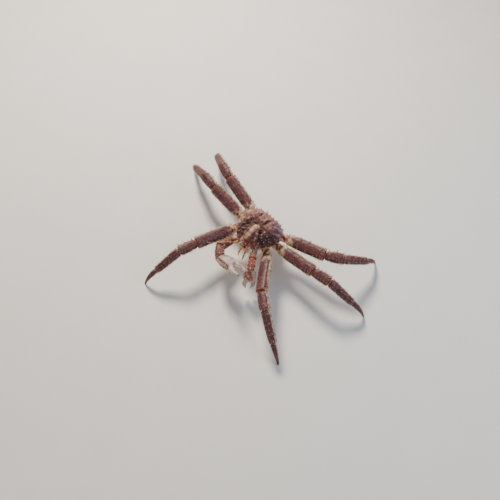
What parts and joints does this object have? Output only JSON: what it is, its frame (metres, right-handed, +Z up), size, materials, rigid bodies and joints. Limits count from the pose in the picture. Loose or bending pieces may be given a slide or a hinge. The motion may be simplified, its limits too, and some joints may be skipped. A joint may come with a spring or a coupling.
{
  "type": "red king crab",
  "caption": "Life-size red king crab standing with spiny shell, spread walking legs, a large folded right claw and a smaller left one.",
  "frame": {"origin": "on the floor under the middle of the bounding box", "axes": "+Z up from the floor, the crab faces -Y and its left side is +X"},
  "size_m": [0.928, 0.6756, 0.2017],
  "materials": {
    "carapace": "dull maroon shell with pale spine tips",
    "leg": "maroon shell with cream spine tips and dark claws",
    "claw": "maroon shell fading to cream inside",
    "underside": "cream shell with orange joints",
    "mouthparts": "orange brown",
    "eye": "wet black"
  },
  "bodies": {
    "root": {"abdomen": "underside", "antenna_left": "mouthparts", "antenna_right": "mouthparts", "antennule_left": "leg", "antennule_right": "leg", "carapace": "carapace", "claw_left_base": "claw", "claw_left_carpus": "claw", "claw_left_finger": "claw", "claw_left_merus": "claw", "claw_left_palm": "claw", "claw_right_base": "claw", "claw_right_carpus": "claw", "claw_right_finger": "claw", "claw_right_merus": "claw", "claw_right_palm": "claw", "eye_left": "eye", "eye_right": "eye", "leg_left_1_base": "leg", "leg_left_1_carpus": "leg", "leg_left_1_dactylus": "leg", "leg_left_1_merus": "leg", "leg_left_1_propodus": "leg", "leg_left_2_base": "leg", "leg_left_2_carpus": "leg", "leg_left_2_dactylus": "leg", "leg_left_2_merus": "leg", "leg_left_2_propodus": "leg", "leg_left_3_base": "leg", "leg_left_3_carpus": "leg", "leg_left_3_dactylus": "leg", "leg_left_3_merus": "leg", "leg_left_3_propodus": "leg", "leg_right_1_base": "leg", "leg_right_1_carpus": "leg", "leg_right_1_dactylus": "leg", "leg_right_1_merus": "leg", "leg_right_1_propodus": "leg", "leg_right_2_base": "leg", "leg_right_2_carpus": "leg", "leg_right_2_dactylus": "leg", "leg_right_2_merus": "leg", "leg_right_2_propodus": "leg", "leg_right_3_base": "leg", "leg_right_3_carpus": "leg", "leg_right_3_dactylus": "leg", "leg_right_3_merus": "leg", "leg_right_3_propodus": "leg", "maxilliped_left": "mouthparts", "maxilliped_right": "mouthparts", "thorax": "underside"}
  },
  "joints": []
}
